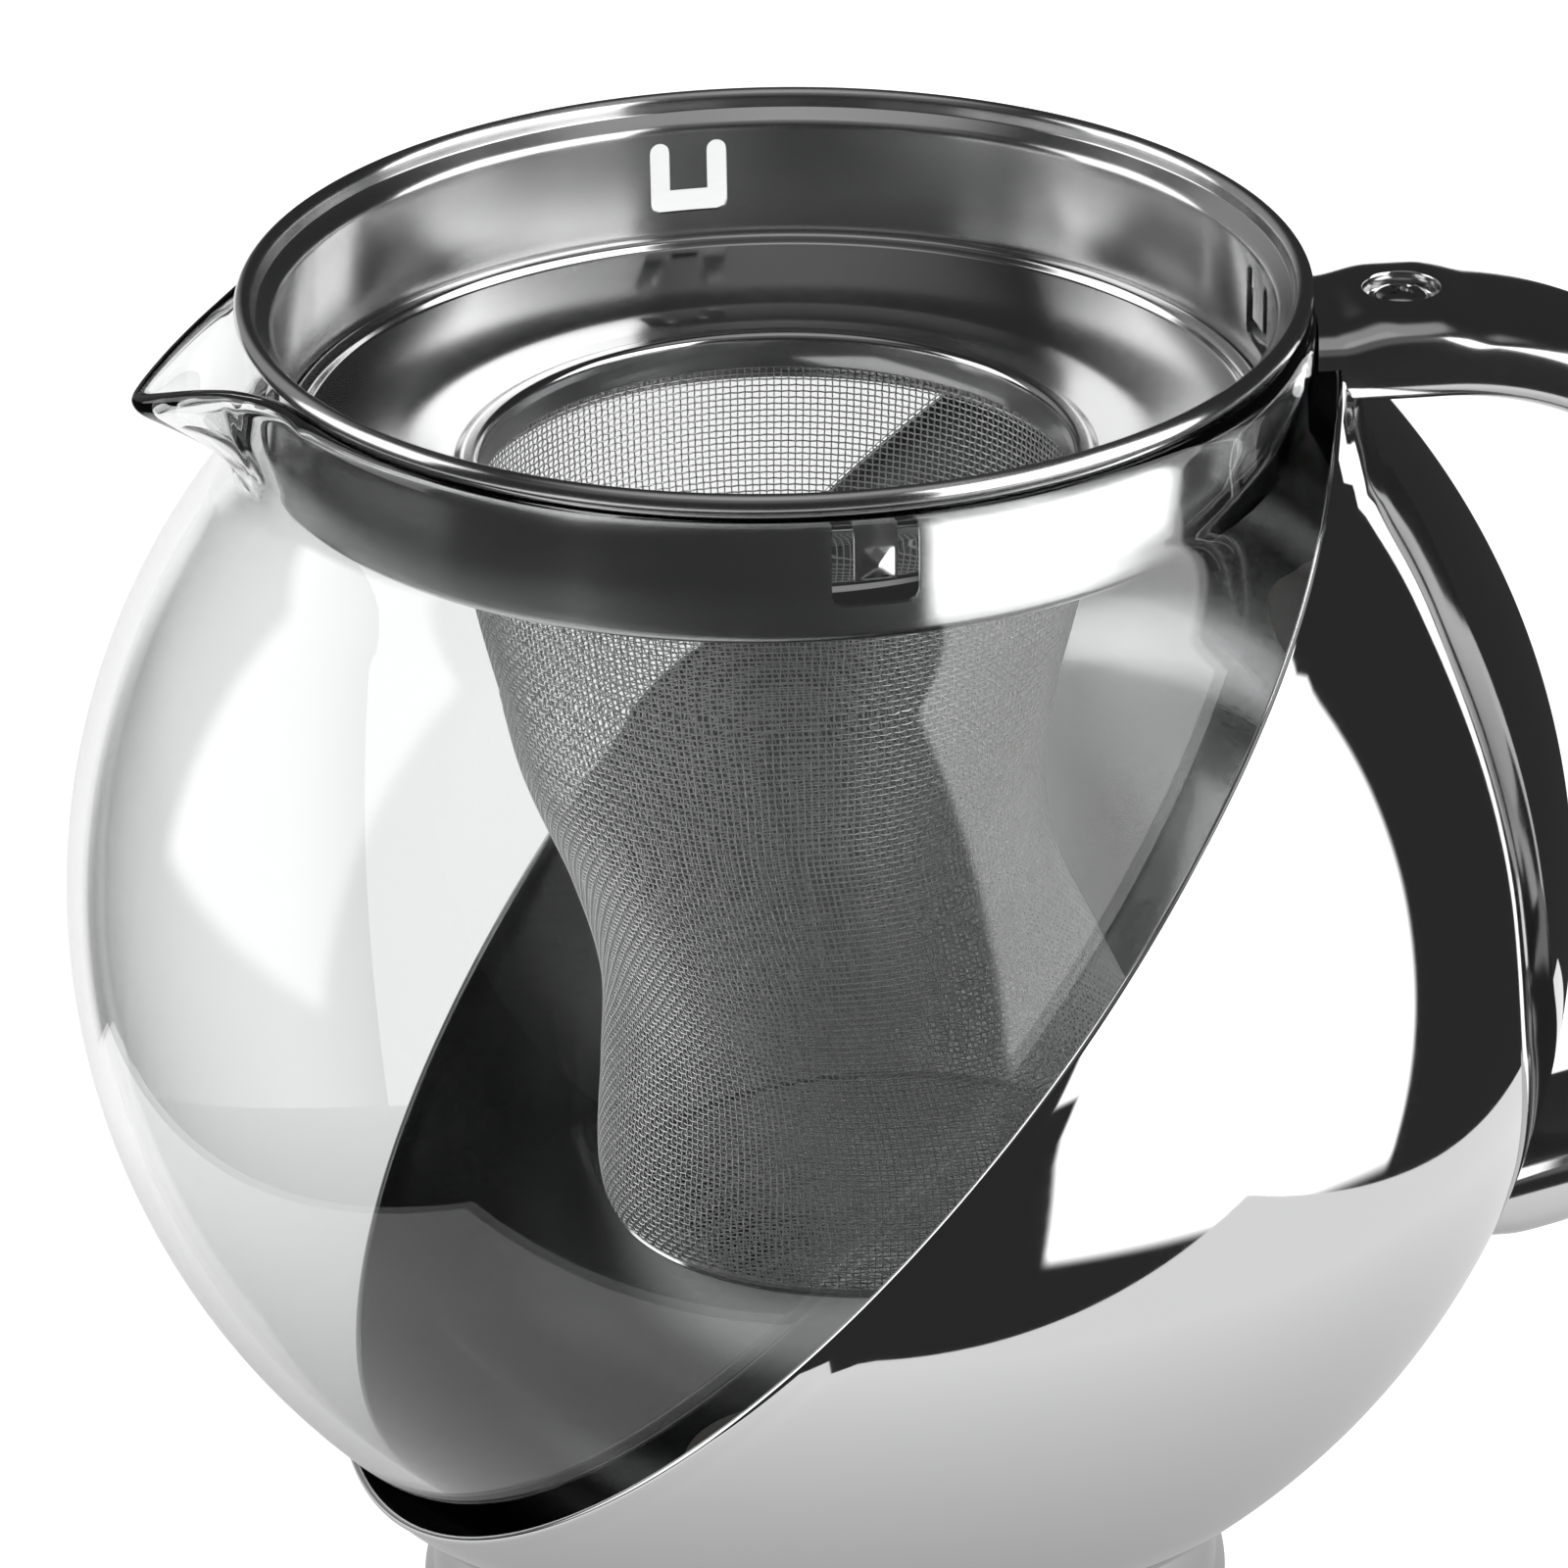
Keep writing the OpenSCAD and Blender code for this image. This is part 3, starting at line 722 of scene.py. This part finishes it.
def make_bottom():
    h, middle, wide, deep = SLEEVE[-1]
    wide, deep = wide - 0.3, deep - 0.3
    level = h - 0.3
    up = Vector((0, 0, 1))
    lines = []
    for axis in (0, 1):
        reach, other = (wide, deep) if axis == 0 else (deep, wide)
        count = int(reach / BOTTOM_PITCH)
        for i in range(-count, count + 1):
            end = other * math.sqrt(max(0.0, 1 - (i * BOTTOM_PITCH / reach) ** 2))
            steps = int(end / BOTTOM_PITCH)
            if steps < 1:
                continue
            line = []
            for j in range(-steps, steps + 1):
                side = (1 if (i + j) % 2 else -1) * (1 if axis == 0 else -1)
                x, y = (BOTTOM_PITCH * k for k in ((i, j) if axis == 0 else (j, i)))
                point = JUG + Vector((middle + x, y, level + side * WIRE_R)) * MM
                line.append((point, up, Vector((1, 0, 0)) if axis == 0 else Vector((0, 1, 0))))
            lines.append((line, False))
    cloth = wires("bottom_cloth", lines)
    dress(cloth, WIRE_STEEL, "wire_cloth", "infuser", "mesh_bottom")


def make_seam_ring():
    """The pressed band around the bottom disc."""
    h, middle, wide, deep = SLEEVE[-1]
    steps = 240
    section = [(0.05, 0.05), (0.45, 0.0), (0.55, -0.25), (0.45, -0.5), (0.05, -0.55), (-0.35, -0.5),
               (-0.35, -0.42), (0.0, -0.38)]
    verts = []
    for x, z in section:
        for k in range(steps):
            a = TAU * k / steps
            p = Vector((middle + (wide + x) * math.cos(a), (deep + x) * math.sin(a), h + z))
            verts.append(JUG + p * MM)
    band = add_mesh("seam_band", verts, grid_faces(len(section), steps, closed_rows=True))
    dress(band, INFUSER_STEEL, "infuser_steel", "infuser", "bottom_seam_ring")


# ---------------------------------------------------------------- handle, lugs, screws and pads

GRIP_H = 7.6
GRIP_W = 18.0
ARM_START = 36.0       # inside the shell's neck; cut off there later
LOWER_ARM = 30.2       # length of the lower arm, into the shell; cut off there later
STEP = 0.4             # between stations of the two arms
ARM_X = 56.0           # where the upper arm starts to bend, from the shell's axis
ARM_Z = 52.6
BENDS = ((32, 30), (48, 70), (24, 66))    # radius and turn in degrees of each bend, from the upper arm on
SLANT = 13.2           # straight stretch after the first bend
UPPER_SCREW_X = 53.2
LOWER_SCREW_AT = 22.4  # along the lower arm, from the last bend
SQUARENESS = 3.3       # of the handle's section: 2 is an oval, more is squarer
BUMP_H = 0.9           # swelling around a screw, above the handle's skin
BUMP_R = 7.5
POCKET_R = 3.4
POCKET_DEPTH = 0.8     # below the handle's skin
HEAD_R = 2.45
HEAD_H = 1.4
SHANK_R = 1.5
SHANK_LENGTH = 5.4


def grip_path():
    """Stations (x, z, turn) of the handle's middle, from the upper arm's start to the lower arm's end."""
    stations = [(ARM_START + STEP * i, ARM_Z, 0.0) for i in range(int((ARM_X - ARM_START) / STEP))]
    x, z, turn = ARM_X, ARM_Z, 0.0
    for index, (radius, angle) in enumerate(BENDS):
        angle = math.radians(angle)
        cx, cz = x - radius * math.sin(turn), z - radius * math.cos(turn)
        steps = max(8, int(radius * angle / 0.8))
        for i in range(steps + 1):
            a = turn + angle * i / steps
            stations.append((cx + radius * math.sin(a), cz + radius * math.cos(a), a))
        x, z, turn = stations[-1]
        if index == 0:
            steps = int(SLANT)
            run = [SLANT * i / steps for i in range(1, steps)]
            stations += [(x + d * math.cos(turn), z - d * math.sin(turn), turn) for d in run]
            x, z = x + SLANT * math.cos(turn), z - SLANT * math.sin(turn)
    end = (x, z, turn)
    run = [STEP * i for i in range(1, int(LOWER_ARM / STEP) + 1)]
    stations += [(x + d * math.cos(turn), z - d * math.sin(turn), turn) for d in run]
    return stations, end


def cope_cutters():
    """What the shell with its neck wall and the glass neck fill, a hair larger, as turned solids."""
    radius, neck, neck_top = SHELL_R / MM + 0.02, TAB_R + 0.35, 53.3
    top = math.asin(neck / radius)
    outline = [(radius * math.sin(t), -radius * math.cos(t)) for t in
               (0.02 + (math.pi - top - 0.02) * i / 120 for i in range(121))]
    outline.append((neck, neck_top))
    upright = (Vector((1, 0, 0)), Vector((0, 0, 1)))
    glass = NECK_R + BEAD_HALF + 0.3
    return [turned("cope", outline, Vector(), *upright, steps=360),
            turned("cope_neck", [(glass, 40), (glass, 70)], (JUG - POT) / MM, *upright, steps=360)]


def screw_frames(end):
    """Place and axes (along, out) of the two screws, in millimetres from the shell's centre."""
    x, z, turn = end
    along = Vector((math.cos(turn), 0, -math.sin(turn)))
    out = Vector((math.sin(turn), 0, math.cos(turn)))
    lower = Vector((x, 0, z)) + along * LOWER_SCREW_AT + out * GRIP_H / 2
    upper = Vector((UPPER_SCREW_X, 0, ARM_Z + GRIP_H / 2))
    return {"upper_screw": (upper, Vector((1, 0, 0)), Vector((0, 0, 1))), "lower_screw": (lower, along, out)}


def turned(name, outline, where, along, out, steps=96):
    """A closed outline in millimetres turned about the axis out at a place from the shell's centre."""
    across = out.cross(along)
    verts = []
    for p in outline:
        for j in range(steps):
            a = TAU * j / steps
            round_axis = along * math.cos(a) + across * math.sin(a)
            verts.append(POT + (where + round_axis * p[0] + out * p[1]) * MM)
    rings = len(outline)
    faces = grid_faces(rings, steps)
    faces += [tuple(range(steps)), tuple(range((rings - 1) * steps, rings * steps))]
    return add_mesh(name, verts, faces, sharp=30)


def make_handle():
    stations, end = grip_path()
    frames = screw_frames(end)
    around = 120
    power = 2 / SQUARENESS
    verts = []
    last = len(stations) - 1
    for x, z, turn in stations:
        out = Vector((math.sin(turn), 0, math.cos(turn)))
        for j in range(around):
            a = TAU * j / around
            c, v = math.cos(a), math.sin(a)
            side = GRIP_W / 2 * math.copysign(abs(c) ** power, c)
            rise = GRIP_H / 2 * math.copysign(abs(v) ** power, v)
            p = Vector((x, side, z)) + out * rise
            for where, along, axis in frames.values():
                off = p - where
                if rise > 0 and off.length < BUMP_R + 4:
                    away = math.hypot(off.dot(along), 0.4 * side)
                    p += axis * BUMP_H * smooth_step((BUMP_R - away) / (BUMP_R - 3.2))
            verts.append(POT + p * MM)
    faces = grid_faces(len(stations), around)
    faces += [tuple(range(around)), tuple(range(last * around, (last + 1) * around))]
    handle = add_mesh("grip", verts, faces, sharp=50)
    pocket = [
        (POCKET_R - 0.5, -POCKET_DEPTH), (POCKET_R - 0.15, -POCKET_DEPTH + 0.12),
        (POCKET_R, -POCKET_DEPTH + 0.5), (POCKET_R + 0.02, BUMP_H - 0.3), (POCKET_R + 0.12, BUMP_H - 0.08),
        (POCKET_R + 0.6, BUMP_H + 0.2), (POCKET_R + 0.6, BUMP_H + 3)]
    cutters = [turned("pocket_" + name, pocket, *place) for name, place in frames.items()]
    subtract(handle, cutters + cope_cutters(), sharp=50)
    dress(handle, HANDLE_STEEL, "handle_steel", "pot", "handle")
    for name, place in frames.items():
        make_screw(name, *place)


def make_screw(name, where, along, out):
    """A pan-head screw with a cross recess, its head in the handle's pocket."""
    floor = where - out * POCKET_DEPTH
    outline = [
        (SHANK_R, -SHANK_LENGTH), (SHANK_R, 0.01), (HEAD_R - 0.1, 0.01), (HEAD_R, 0.12),
        (HEAD_R, 0.5 * HEAD_H)]
    for i in range(1, 9):
        a = math.pi / 2 * i / 8
        outline.append((0.3 + (HEAD_R - 0.3) * math.cos(a), HEAD_H * (0.5 + 0.5 * math.sin(a))))
    screw = turned("cross_" + name, outline, floor, along, out)
    cutters = []
    for turn in (math.radians(45), math.radians(135)):
        reach, half = 1.5, 0.32
        one = along * math.cos(turn) + out.cross(along) * math.sin(turn)
        two = out.cross(one)
        verts = []
        for height, narrow in ((HEAD_H - 0.8, 0.55), (HEAD_H + 0.5, 1.1)):
            for u, v in ((-1, -1), (1, -1), (1, 1), (-1, 1)):
                p = floor + one * u * reach * narrow + two * v * half * narrow + out * height
                verts.append(POT + p * MM)
        faces = grid_faces(2, 4) + [(0, 1, 2, 3), (7, 6, 5, 4)]
        cutters.append(add_mesh("recess", verts, faces))
    subtract(screw, cutters, sharp=30)
    dress(screw, SCREW_STEEL, "screw_steel", "pot", name)


def dress_hidden_parts():
    """The CAD parts that keep their own shape: the lugs inside the handle and the pads under the glass."""
    for name, material in (("upper_lug", LUG_STEEL), ("lower_lug", LUG_STEEL), ("base_pad", PAD_SILICONE),
                           ("back_pads", PAD_SILICONE)):
        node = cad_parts[name]
        node.data.materials.clear()
        node.data.materials.append(material)


# ---------------------------------------------------------------- studio

def studio_world():
    """White to the camera; to everything else a dark studio with large soft panels."""
    world = bpy.data.worlds.new("studio")
    bpy.context.scene.world = world
    world.use_nodes = True
    tree = world.node_tree
    tree.nodes.clear()

    def node(kind, links=None, **values):
        n = tree.nodes.new(kind)
        for key, value in values.items():
            if key in n.inputs:
                n.inputs[key].default_value = value
            else:
                setattr(n, key, value)
        for socket, source in (links or {}).items():
            tree.links.new(source, n.inputs[socket])
        return n

    def math_node(operation, a, b=None):
        n = node("ShaderNodeMath", operation=operation)
        for socket, value in ((0, a), (1, b)):
            if isinstance(value, (int, float)):
                n.inputs[socket].default_value = value
            elif value is not None:
                tree.links.new(value, n.inputs[socket])
        return n.outputs[0]

    direction = node("ShaderNodeTexCoord").outputs["Generated"]
    split = node("ShaderNodeSeparateXYZ", {"Vector": direction})
    x, y, z = (split.outputs[k] for k in "XYZ")
    front = math_node("MULTIPLY", y, -1)
    azimuth = math_node("MULTIPLY", math_node("ARCTAN2", x, front), 180 / math.pi)
    elevation = math_node("MULTIPLY", math_node("ARCSINE", z), 180 / math.pi)

    def edge(value, at, soft):
        ramp = node("ShaderNodeMapRange", {"Value": value}, interpolation_type="SMOOTHSTEP")
        ramp.inputs["From Min"].default_value = at - soft
        ramp.inputs["From Max"].default_value = at + soft
        return ramp.outputs[0]

    def panel(az, el, az_soft, el_soft, strength):
        """A soft box between two azimuths and two elevations, in degrees from the camera's side."""
        inside = math_node("MULTIPLY", edge(azimuth, az[0], az_soft),
                           math_node("SUBTRACT", 1.0, edge(azimuth, az[1], az_soft)))
        inside = math_node("MULTIPLY", inside, edge(elevation, el[0], el_soft))
        inside = math_node("MULTIPLY", inside, math_node("SUBTRACT", 1.0, edge(elevation, el[1], el_soft)))
        return math_node("MULTIPLY", inside, strength)

    glow = STUDIO_DARK
    for az, el, az_soft, el_soft, strength in STUDIO_PANELS:
        glow = math_node("ADD", panel(az, el, az_soft, el_soft, strength), glow)
    seen = node("ShaderNodeLightPath").outputs["Is Camera Ray"]
    mix = node("ShaderNodeMix", {"Factor": seen, 2: glow}, data_type="FLOAT")
    mix.inputs[3].default_value = CAMERA_WHITE
    background = node("ShaderNodeBackground", {"Strength": mix.outputs[0]})
    node("ShaderNodeOutputWorld", {"Surface": background.outputs[0]})


# (azimuth from, to), (elevation from, to), softness of each, strength. Azimuth 0 is the camera's side.
STUDIO_PANELS = [
    ((28, 90), (-31, 50), 1.0, 1.5, 3.4),         # large box on the right
    ((-119, -80), (-8, 45), 2.0, 2.0, 2.6),       # large box on the left
    ((-165, -119), (-4, 40), 12.0, 5.0, 0.35),    # its weak spill behind
    ((-200, 200), (66, 100), 5.0, 6.0, 0.45),     # dim box overhead
    ((-70, 28), (35, 91), 14.0, 10.0, 0.14),      # dim ceiling over the camera
    ((165, 182), (-60, -3), 2.0, 3.0, 1.2),       # white backdrop, right half
    ((-182, -150), (-60, -3), 4.0, 3.0, 1.2),     # white backdrop, left half
]
STUDIO_DARK = 0.04
CAMERA_WHITE = 1.3     # what the camera sees past the floor
STAND_GLOW_IN_PAINTED_SHADOW, STAND_GLOW_FAR = 0.5, 1.0    # the stand's glow beside the foot, dimmed there as painted shadow, and towards its edges
STAND_FRONT, STAND_BACK, STAND_SIDE = -0.135, 0.095, 0.155


def make_floor_sheet():
    """A plain pale floor. In reflections and through the glass it is a grey stand that glows by itself as
    painted light, darker beside the foot as painted shadow.
    """
    front, side, back = -1.5, 2.0, 3.0
    verts = [(-side, front, 0), (side, front, 0), (side, back, 0), (-side, back, 0)]
    floor = add_mesh("floor", verts, [(0, 1, 2, 3)])
    m = Nodes("floor paper")
    place = m.add("ShaderNodeTexCoord").outputs["Object"]
    grain = m.add("ShaderNodeTexNoise", {"Vector": place}, Scale=300.0, Detail=2.0)
    colour = m.add("ShaderNodeValToRGB", {"Fac": grain.outputs["Fac"]})
    colour.color_ramp.elements[0].color = (0.76, 0.76, 0.76, 1)
    colour.color_ramp.elements[1].color = (0.8, 0.8, 0.8, 1)
    m.link(colour.outputs[0], "Base Color")
    m.set(Roughness=0.9, Specular_IOR_Level=0.0, Emission_Color=(1, 1, 1, 1), Emission_Strength=0.93)
    split = m.add("ShaderNodeSeparateXYZ", {"Vector": place})

    def both(one, two):
        return m.add("ShaderNodeMath", {0: one, 1: two}, operation="MULTIPLY").outputs[0]

    def inside(value, low, high):
        above = m.add("ShaderNodeMath", {0: value}, operation="GREATER_THAN")
        above.inputs[1].default_value = low
        below = m.add("ShaderNodeMath", {0: value}, operation="LESS_THAN")
        below.inputs[1].default_value = high
        return both(above.outputs[0], below.outputs[0])

    on_stand = both(inside(split.outputs["X"], POT.x - STAND_SIDE, POT.x + STAND_SIDE),
                    inside(split.outputs["Y"], STAND_FRONT, STAND_BACK))
    away = m.add("ShaderNodeVectorMath", {0: place}, operation="DISTANCE")
    away.inputs[1].default_value = (POT.x, 0, 0)
    # painted shadow: the stand's glow is dimmer near the foot, where the pot would shade a real table
    painted_shadow_ramp = m.add("ShaderNodeMapRange", {"Value": away.outputs["Value"]})
    painted_shadow_ramp.inputs["From Min"].default_value, painted_shadow_ramp.inputs["From Max"].default_value = 0.045, 0.13
    painted_shadow_ramp.inputs["To Min"].default_value, painted_shadow_ramp.inputs["To Max"].default_value = STAND_GLOW_IN_PAINTED_SHADOW, STAND_GLOW_FAR
    stand = m.add("ShaderNodeEmission", {"Strength": painted_shadow_ramp.outputs[0]})
    beyond = m.add("ShaderNodeBsdfTransparent")
    other = m.add("ShaderNodeMixShader", {"Fac": on_stand})
    m.tree.links.new(beyond.outputs[0], other.inputs[1])
    m.tree.links.new(stand.outputs[0], other.inputs[2])
    seen = m.add("ShaderNodeLightPath").outputs["Is Camera Ray"]
    surface = m.add("ShaderNodeMixShader", {"Fac": seen})
    m.tree.links.new(other.outputs[0], surface.inputs[1])
    m.tree.links.new(m.shader.outputs[0], surface.inputs[2])
    m.tree.links.new(surface.outputs[0], m.tree.nodes["Material Output"].inputs["Surface"])
    floor.data.materials.append(m.material)


# ---------------------------------------------------------------- build

make_camera()
make_jug()
make_shell()
make_foot()
make_infuser_wall()
for index, tongue_name in enumerate(TONGUES):
    make_tongue(tongue_name, math.radians(TONGUE_TURN + 90 * index))
make_floor()
make_throat_ring()
make_sleeve()
make_bottom()
make_seam_ring()
make_handle()
dress_hidden_parts()
studio_world()
make_floor_sheet()
bpy.context.scene.view_settings.view_transform = "Standard"
